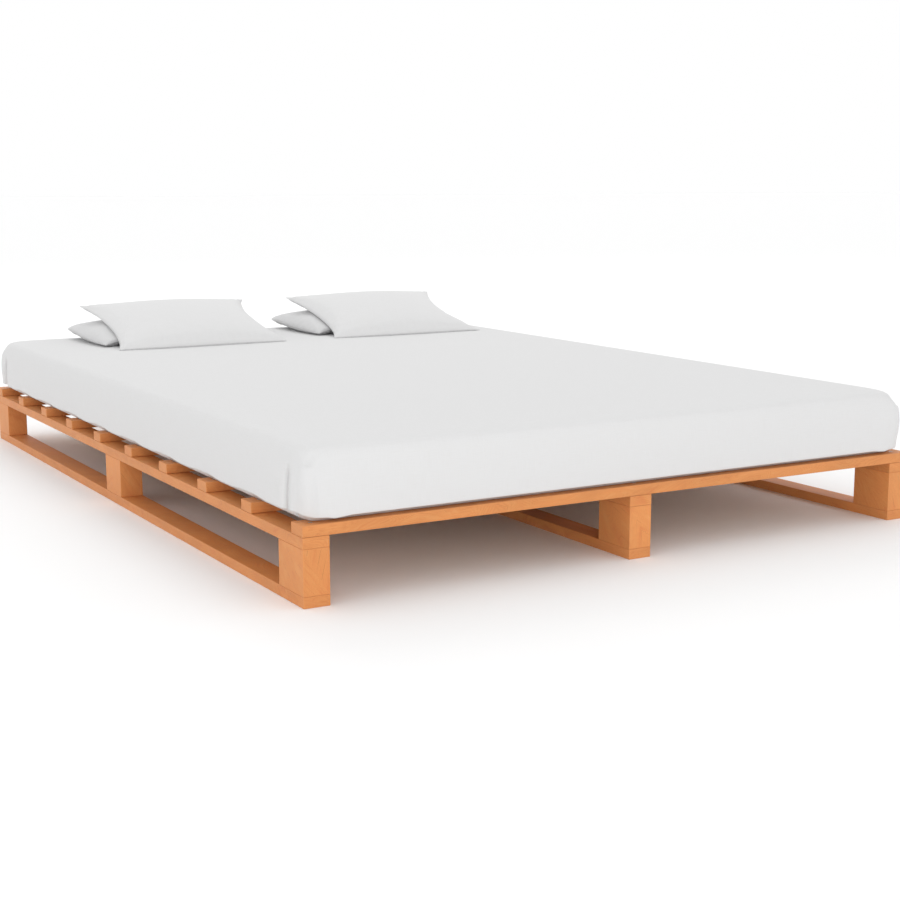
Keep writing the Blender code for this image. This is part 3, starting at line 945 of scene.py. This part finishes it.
def pressIn(points, size, depth, width):  # the folds beside the corners, and the corners' feet drawn in
    x, y, z = points.T
    side = onWall(x, size["halfWidth"]) * (np.abs(y) < size["halfLength"] - size["endMargin"])
    down = 1 - smoothStep(size["foldFull"], size["foldTop"], z)
    down = down * smoothStep(size["base"], size["base"] + size["foldFoot"], z)
    place = np.abs(y) - size["foldPlace"]
    groove = np.exp(-((place / width) ** 4)) * depth
    step = smoothStep(*size["stepRise"], place) * (1 - smoothStep(*size["stepFall"], place))
    step = step * size["foldStep"]
    x += np.sign(x) * (step - groove) * down * side

    low, high = size["tuckBand"]
    reach = size["tuckReach"]
    tuck = size["cornerTuck"] * (1 - smoothStep(size["base"] + low, size["base"] + high, z))
    cornerX = np.maximum(np.abs(x) - size["halfWidth"] + reach, 0.0) / reach
    cornerY = np.maximum(np.abs(y) - size["halfLength"] + reach, 0.0) / reach
    pull = tuck * cornerX * cornerY / 2**0.5
    x -= np.sign(x) * pull
    y -= np.sign(y) * pull
    return side


def dressSheet(points, size):
    side = pressIn(points, size, size["foldGroove"], size["foldWidth"])
    x, y, z = points.T
    z -= smoothStep(size["top"] - size["topBand"], size["top"], z) * topDip(x, y)
    low, high = size["rippleBand"]
    wall = 1 - smoothStep(size["top"] - low, size["top"] - high, z)
    ripple = np.abs(waves(x, y, size["seeds"]["ripple"], size["rippleWaves"]) * size["ripple"] * wall)
    endWall = onWall(y, size["halfLength"])
    x -= np.sign(x) * ripple * side
    y -= np.sign(y) * ripple * endWall * (1 - side)


def addBedding():
    size = bedding
    points, cloth, faces, columns = softBox(size, False)
    dressSheet(points, size)
    sheet = addPiece("bed_sheet", points, faces, sheetCotton)
    storeVector(sheet, "clothPlace", cloth)
    wall = sheet.modifiers.new("Cloth", "SOLIDIFY")
    wall.thickness = size["sheetThickness"]
    wall.offset = -1.0

    core = {**size, "base": size["coreBase"], "turnReach": size["coreTurnReach"], "foldStep": 0.0}
    for edge in ("halfWidth", "halfLength", "top"):
        core[edge] = size[edge] - size["coreInset"]
    for edge in ("sideLift", "footLift"):
        core[edge] = size[edge] + size["coreLift"]
    corePoints, coreCloth, coreFaces, _ = softBox(core, True)
    more = size["coreFoldMore"]
    pressIn(corePoints, core, size["foldGroove"] - size["coreInset"] + more, size["foldWidth"] + more)
    mattress = addPiece("mattress_core", corePoints, coreFaces, ticking)
    storeVector(mattress, "clothPlace", coreCloth)
    return sheet, mattress, points[columns[-1]], points[columns[-size["stitchRing"]]]


sheet, mattress, hemLine, stitchLine = addBedding()


# What is sewn: a rolled edge along a line, and a row of stitches along it
rolledEdgeInputs = {
    "Step": 0.006,
    "Thickness": 0.0012,
    "Gather": 0.0,
    "Gather Scale": 70.0,
    "Sides": 8,
    "Finish": None,
}
stitchInputs = {"Pitch": 0.005, "Length": 0.0032, "Thickness": 0.0006, "Finish": None}
hemLook = {"lift": 0.0004, "gather": 0.0004}


def lineMesh(name, points):
    mesh = bpy.data.meshes.new(name)
    edges = [(k, (k + 1) % len(points)) for k in range(len(points))]
    mesh.from_pydata([tuple(point) for point in points], edges, [])
    return mesh


def rolledEdgeForm():
    form = Form("rolledEdge", rolledEdgeInputs)
    crimp = {"Vector": form.position(), "Scale": form.given("Gather Scale")}
    shift = (form.node("ShaderNodeTexNoise", {}, crimp) - 0.5) * form.given("Gather")
    line = form.geometry("SetPosition", form.carriedLine("Step"), Offset=form.together(0.0, 0.0, shift))
    ring = {"Resolution": form.given("Sides"), "Radius": form.given("Thickness") * 0.5}
    ring = form.node("GeometryNodeCurvePrimitiveCircle", {}, ring)
    form.endCloth(form.geometry("CurveToMesh", line, Profile_Curve=ring))
    return form


def stitchForm():
    form = Form("stitchRow", stitchInputs)
    tangent = form.node("GeometryNodeInputTangent")
    turn = form.node("FunctionNodeAlignRotationToVector", {"axis": "X"}, {"Vector": tangent})
    bead = form.node("GeometryNodeMeshIcoSphere", {}, {"Radius": 0.5, "Subdivisions": 1})
    thick = form.given("Thickness")
    scale = form.together(form.given("Length"), thick, thick)
    line = form.carriedLine("Pitch")
    row = form.geometry("InstanceOnPoints", line, Instance=bead, Rotation=turn, Scale=scale)
    form.endCloth(form.geometry("RealizeInstances", row))
    return form


rolledEdge = rolledEdgeForm()
stitchRow = stitchForm()
hemEdge = lineMesh("hemLine", hemLine + (0.0, 0.0, hemLook["lift"]))
hem = rolledEdge.piece("sheet_hem", hemEdge, Gather=hemLook["gather"], Finish=hemCotton)
hemStitches = stitchRow.piece("sheet_hem_stitches", lineMesh("stitchLine", stitchLine), Finish=threadCotton)
for piece in (sheet, mattress, hem, hemStitches):
    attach(piece, "mattress")
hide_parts("fitted_sheet")
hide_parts("mattress")
print("mattress and sheet made")


# Pillows: a case of two sewn sheets, swelled by its stuffing and pressed by what it rests on
pillowLook = {
    "width": 0.470,
    "cellsAcross": 68,
    "cellsAlong": 50,
    "crowding": (0.62, 0.38),  # shares of cells that crowd towards the seam and of even ones
    "restGap": 0.0004,
    "cap": 0.005,  # how far the swelling moves the cloth, at most
    "frames": 16,
    "pucker": 0.0012,
    "puckerPitch": 0.024,
    "puckerDrift": 2.4,
    "puckerWaves": (0.09,),
    "puckerSeed": 21,
    "puckerReach": 0.020,
    "puckerStart": 0.003,
    "clothShift": (0.7, 0.3, 0.0),  # of the case's lower sheet from its upper one
    "seamStep": 0.008,
    "seamThickness": 0.0014,
    "castFrom": 1.0,  # a height over everything
    "pressBlend": {"lower": 0.004, "upper": 0.001, "sheet": 0.002},  # how softly a pressed form turns flat
    "footRun": 0.060,  # how far from its foot seam an upper pillow lies down to the sheet
    "overlapRun": 0.030,
    "sinkRun": (0.060, 0.100),  # from the lower pillow's foot, where the upper one sinks on to it
    "lower": {
        "depth": 0.315,
        "crown": 0.035,
        "belly": 0.021,
        "fullness": 0.40,
        "headFullness": 0.40,
        "bellyFullness": 0.36,
        "leftDraw": -0.016,  # how far this side of the seam is drawn in between its tips
        "rightDraw": (-0.010, -0.010),  # of the left pillow and of the right one, as drawSkew is
        "drawSkew": (0.0, 0.0),
        "headDraw": 0.010,
        "footDraw": 0.006,
        "curl": 0.0,
        "tipReach": (0.008, 0.0),  # how far the head tips, left and right, reach past the case's width
        "droop": 0.0185,  # how far the foot tips hang from the seam's plane
        "place": (-0.013, 0.7925, 0.2972),
        "tilt": 0.0,
    },
    "upper": {
        "depth": 0.344,
        "crown": 0.042,
        "belly": 0.027,
        "fullness": 0.50,
        "headFullness": 0.72,
        "bellyFullness": 0.50,
        "leftDraw": 0.024,
        "rightDraw": (0.026, 0.038),
        "drawSkew": (0.2, 0.6),  # how much more the right side is drawn in towards the foot
        "headDraw": 0.010,
        "footDraw": -0.010,
        "curl": 0.004,
        "tipReach": (0.003, 0.008),
        "droop": 0.0,
        "place": (0.0, 0.7136, 0.3209),
        "tilt": 0.2557,
    },
    "leftX": -0.262,
    "rightX": 0.352,
    "seamRest": 0.0002,
    "underUpper": 0.0062,  # from the upper pillow's middle plane to the lower pillow's top
    "stuffing": {  # the cloth modifier's own settings
        "quality": 5,
        "use_pressure": True,
        "uniform_pressure_force": 3.0,
        "shrink_min": -0.025,  # how much more cloth the case has than it needs, which wrinkles it
        "bending_stiffness": 0.08,
        "mass": 0.3,
    },
}


def pillowPlane(y):  # height of the upper pillow's underside over the lower one
    upper = pillowLook["upper"]
    height = upper["place"][2] + math.tan(upper["tilt"]) * (y - upper["place"][1])
    return height - pillowLook["underUpper"] / math.cos(upper["tilt"])


def crowded(cells):  # places from -1 to 1 that crowd towards both ends
    even = np.linspace(-1, 1, cells + 1)
    close, plain = pillowLook["crowding"]
    return close * np.sin(even * math.pi / 2) + plain * even


def pillowPoints(look, right):
    a, b = np.meshgrid(crowded(look["cellsAcross"]), crowded(look["cellsAlong"]), indexing="ij")
    rightDraw = look["rightDraw"][right] * (1 - look["drawSkew"][right] * b)
    sideDraw = np.where(a > 0, rightDraw, look["leftDraw"])
    endDraw = np.where(b > 0, look["headDraw"], look["footDraw"])
    x = a * (look["width"] / 2 - sideDraw * (1 - b**2))
    x += np.where(a > 0, look["tipReach"][1], -look["tipReach"][0]) * (a * b) ** 4 * (b > 0)
    y = b * (look["depth"] / 2 - endDraw * (1 - a**2))
    fullness = look["fullness"] + (look["headFullness"] - look["fullness"]) * np.maximum(b, 0.0)
    swelling = np.maximum((1 - a**2) * (1 - b**2), 0.0)
    edge = np.minimum((1 - np.abs(a)) * look["width"] / 2, (1 - np.abs(b)) * look["depth"] / 2)
    run = np.where((1 - np.abs(a)) * look["width"] < (1 - np.abs(b)) * look["depth"], y, x)
    drift = look["puckerDrift"] * waves(x, y, look["puckerSeed"], look["puckerWaves"])
    pucker = look["pucker"] * np.sin(run * 2 * math.pi / look["puckerPitch"] + drift)
    pucker *= np.exp(-edge / look["puckerReach"])
    pucker *= 1 - np.exp(-edge / look["puckerStart"])
    tip = look["curl"] * (a * b) ** 2 * (b > 0) - look["droop"] * a**4 * ((1 - b) / 2) ** 1.5
    crown = look["crown"] * swelling**fullness
    belly = -look["belly"] * swelling ** look["bellyFullness"]
    sheets = [np.stack([x, y, crown + tip + pucker], 2), np.stack([x, y, belly + tip - pucker], 2)]
    return sheets, np.stack([a * look["width"] / 2, b * look["depth"] / 2, np.zeros_like(a)], 2)


def addPillow(name, kind, x):
    look = {**pillowLook, **pillowLook[kind]}
    sheets, cloth = pillowPoints(look, int(x > 0))
    rows, cols = cloth.shape[:2]
    upper = np.arange(rows * cols).reshape(rows, cols)
    lower = upper.copy()
    lower[1:-1, 1:-1] = rows * cols + np.arange((rows - 2) * (cols - 2)).reshape(rows - 2, cols - 2)
    points = np.concatenate([sheets[0].reshape(-1, 3), sheets[1][1:-1, 1:-1].reshape(-1, 3)])
    shifted = cloth[1:-1, 1:-1].reshape(-1, 3) + look["clothShift"]
    flat = np.concatenate([cloth.reshape(-1, 3), shifted])
    faces = [face for pair in zip(gridFaces(upper), gridFaces(lower, True)) for face in pair]
    tilt = look["tilt"]
    turned = points.copy()
    turned[:, 1] = points[:, 1] * math.cos(tilt) - points[:, 2] * math.sin(tilt)
    turned[:, 2] = points[:, 1] * math.sin(tilt) + points[:, 2] * math.cos(tilt)
    turned += np.array(look["place"]) + (x, 0.0, 0.0)
    piece = addPiece(name, turned, faces, pillowCotton[kind])
    storeVector(piece, "clothPlace", flat)
    seam = np.concatenate([upper[:, 0], upper[-1, 1:], upper[-2::-1, -1], upper[0, -2:0:-1]])
    return piece, seam, upper[:, 0]


def readPoints(piece):
    mesh = piece.data
    values = np.empty(len(mesh.vertices) * 3)
    mesh.vertices.foreach_get("co", values)
    return values.reshape(-1, 3)


def writePoints(piece, values):
    piece.data.vertices.foreach_set("co", np.ascontiguousarray(values).ravel())
    piece.data.update()


def swell(piece):
    rest = readPoints(piece)
    cloth = piece.modifiers.new("Cloth", "CLOTH")
    for key, value in pillowLook["stuffing"].items():
        setattr(cloth.settings, key, value)
    cloth.settings.effector_weights.gravity = 0.0
    for number in range(1, pillowLook["frames"] + 1):
        scene.frame_set(number)
    made = piece.evaluated_get(bpy.context.evaluated_depsgraph_get())
    move = readPoints(made) - rest
    piece.modifiers.remove(cloth)
    scene.frame_set(1)
    move -= move.mean(0)
    length = np.linalg.norm(move, axis=1, keepdims=True)
    cap = pillowLook["cap"]
    move *= cap * np.tanh(length / cap) / np.maximum(length, tiny)
    writePoints(piece, rest + move)


def softUnder(value, limit, blend):  # keeps value under limit, with a rounded turn
    over = value - limit + blend
    return np.where(over > 0, limit - blend + blend * np.tanh(np.maximum(over, 0) / blend), value)


def topOf(piece, points):  # height of a pillow's top at each point, or the floor's where it has none
    shape = piece.data
    corners = [vertex.co[:] for vertex in shape.vertices]
    surface = BVHTree.FromPolygons(corners, [face.vertices[:] for face in shape.polygons])
    heights = np.zeros(len(points))
    for number, (x, y, _) in enumerate(points):
        place = surface.ray_cast((x, y, pillowLook["castFrom"]), (0.0, 0.0, -1.0))[0]
        heights[number] = place[2] if place else 0.0
    return heights


def restOn(piece, kind, footSeam, below):
    look = pillowLook
    points = readPoints(piece)
    floor = bedding["top"] - topDip(points[:, 0], points[:, 1]) + look["restGap"]
    plane = pillowPlane(points[:, 1])
    if kind == "lower":
        points[:, 2] = softUnder(points[:, 2], plane - look["restGap"], look["pressBlend"]["lower"])
    else:
        edge = points[footSeam]
        order = np.argsort(edge[:, 0])
        gap = np.interp(points[:, 0], edge[order, 0], (edge[:, 2] - floor[footSeam])[order])
        foot = np.interp(points[:, 0], edge[order, 0], edge[order, 1])
        settled = 1 - smoothStep(foot, foot + look["footRun"], points[:, 1])
        points[:, 2] -= (gap - look["seamRest"]) * settled
        over = plane + look["restGap"]
        lowerFoot = look["lower"]["place"][1] - look["lower"]["depth"] / 2
        limit = floor + (over - floor) * smoothStep(lowerFoot - look["overlapRun"], lowerFoot, points[:, 1])
        sunk = np.minimum(over, topOf(below, points) + 2 * look["restGap"])
        start, full = look["sinkRun"]
        limit += (sunk - limit) * smoothStep(lowerFoot + start, lowerFoot + full, points[:, 1])
        points[:, 2] = -softUnder(-points[:, 2], -limit, look["pressBlend"]["upper"])
    points[:, 2] = -softUnder(-points[:, 2], -floor, look["pressBlend"]["sheet"])
    writePoints(piece, points)


def addPillows():
    for side, x in (("left", pillowLook["leftX"]), ("right", pillowLook["rightX"])):
        below = None
        for kind in ("lower", "upper"):
            body = f"pillow_{kind}_{side}"
            piece, seam, footSeam = addPillow(f"pillow_case_{kind}_{side}", kind, x)
            swell(piece)
            restOn(piece, kind, footSeam, below)
            below = piece
            line = lineMesh("seamLine", readPoints(piece)[seam])
            sizes = {"Step": pillowLook["seamStep"], "Thickness": pillowLook["seamThickness"]}
            edge = rolledEdge.piece(f"pillow_seam_{kind}_{side}", line, Finish=pillowCotton[kind], **sizes)
            smooth = piece.modifiers.new("Soft form", "SUBSURF")
            smooth.levels = 1
            smooth.render_levels = 1
            for part in (piece, edge):
                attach(part, body)
            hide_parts(body)
            print("pillow made:", body)


addPillows()


# Floor, light and camera
studio = {
    "floorReach": 60.0,
    "fadeOut": (4.0, 9.0),  # from here to here the floor turns as white as the sky
    "paper": {"Roughness": 0.7, "Specular IOR Level": 0.1},
    "paperTones": ((0.955, 0.955, 0.955, 1.0), (0.965, 0.965, 0.965, 1.0)),
    "mottleScale": 3.0,
    "white": (1.0, 1.0, 1.0, 1.0),
    "skyStrength": 1.0,
    "lights": {
        "frontLight": {"energy": 62.0, "size": 2.5, "place": (-2.4, -5.8, 0.9)},
        "backLight": {"energy": 80.0, "size": 3.5, "place": (1.5, 6.0, 5.0)},
    },
    "lightAim": (0.0, 0.0, 0.2),
    "cameraPlace": (-1.7351, -3.2620, 0.7088),
    "cameraTurn": (79.973, 0.0, -30.231),
    "lens": 61.26,
    "sensorWidth": 36.0,
    "clipEnd": 200.0,
}


def setStudio():
    reach = studio["floorReach"]
    corners = [(x * reach, y * reach, 0.0) for x, y in ((-1, -1), (1, -1), (1, 1), (-1, 1))]
    paper = Finish("studioFloor", studio["paper"])
    place = paper.node("ShaderNodeTexCoord", {}, {}, "Object")
    near = paper.mix(paper.noise(place, studio["mottleScale"]), *studio["paperTones"])
    far = paper.band(paper.vector("LENGTH", place, output=1), *studio["fadeOut"])
    paper.show(Base_Color=paper.mix(far, near, studio["white"]))
    addPiece("studio_floor", corners, [(0, 1, 2, 3)], paper.material)

    world = bpy.data.worlds.new("studioSky")
    world.use_nodes = True
    sky = world.node_tree.nodes["Background"]
    sky.inputs["Color"].default_value = studio["white"]
    sky.inputs["Strength"].default_value = studio["skyStrength"]
    scene.world = world

    for name, light in studio["lights"].items():
        glow = bpy.data.lights.new(name, "AREA")
        glow.energy = light["energy"]
        glow.size = light["size"]
        lamp = bpy.data.objects.new(name, glow)
        lamp.location = light["place"]
        x, y, z = np.array(studio["lightAim"]) - np.array(light["place"])
        lamp.rotation_euler = (math.atan2(math.hypot(x, y), -z), 0.0, math.atan2(-x, y))
        scene.collection.objects.link(lamp)

    lens = bpy.data.cameras.new("camera")
    lens.lens = studio["lens"]
    lens.sensor_width = studio["sensorWidth"]
    lens.clip_end = studio["clipEnd"]
    camera = bpy.data.objects.new("camera", lens)
    camera.location = studio["cameraPlace"]
    camera.rotation_euler = [math.radians(angle) for angle in studio["cameraTurn"]]
    scene.collection.objects.link(camera)
    scene.camera = camera
    scene.view_settings.view_transform = "Standard"


setStudio()
print("studio set")
